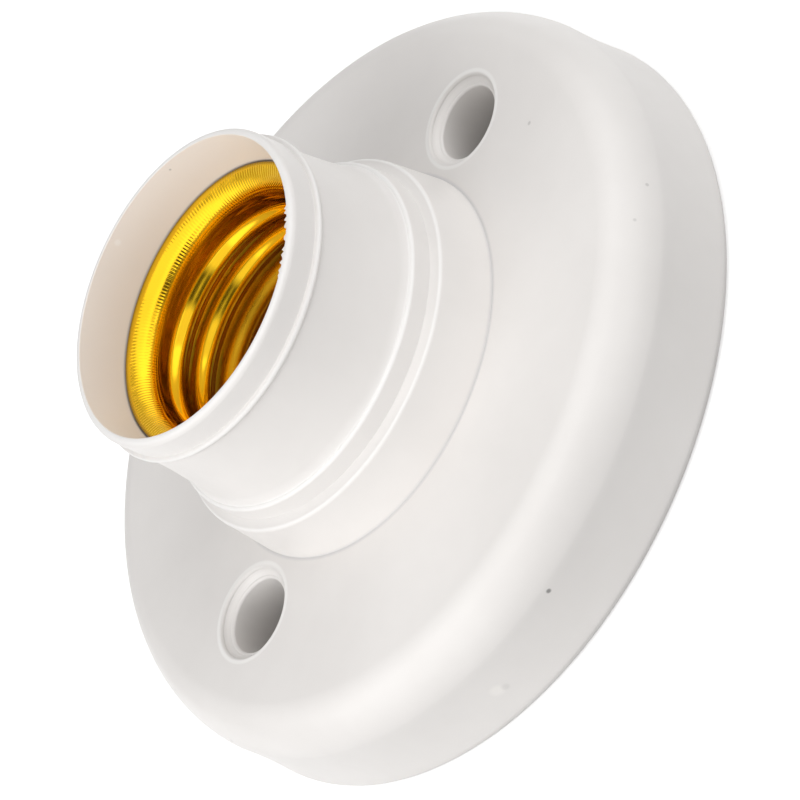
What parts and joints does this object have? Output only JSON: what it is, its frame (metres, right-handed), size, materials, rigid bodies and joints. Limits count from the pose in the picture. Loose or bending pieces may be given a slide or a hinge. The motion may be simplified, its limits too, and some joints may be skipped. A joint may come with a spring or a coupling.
{
  "type": "lamp holder",
  "caption": "Surface-mount lamp holder: round moulded dish with recessed fixing wells, a stepped barrel and a brass screw shell.",
  "frame": {"origin": "centre of the rear mounting plane, on the barrel's axis", "axes": "+Z along the barrel towards the mouth; +X through one fixing well; +Y towards the live terminal"},
  "size_m": [0.0834, 0.0834, 0.0383],
  "materials": {
    "moulding": "warm white, satin gloss",
    "shell_brass": "bright rolled sheet",
    "contact_brass": "bright spring strip",
    "terminal_brass": "stamped plate",
    "rivet_brass": "domed, slightly dull",
    "plated_steel": "bright zinc plating"
  },
  "bodies": {
    "root": {"holder_body": "moulding", "screw_shell": "shell_brass", "centre_contact": "contact_brass", "live_terminal": "terminal_brass", "neutral_terminal": "terminal_brass", "contact_rivet": "rivet_brass", "shell_rivet_left": "rivet_brass", "shell_rivet_right": "rivet_brass", "live_clamp_washer": "plated_steel", "neutral_clamp_washer": "plated_steel", "live_terminal_screw": "plated_steel", "neutral_terminal_screw": "plated_steel"}
  },
  "joints": []
}
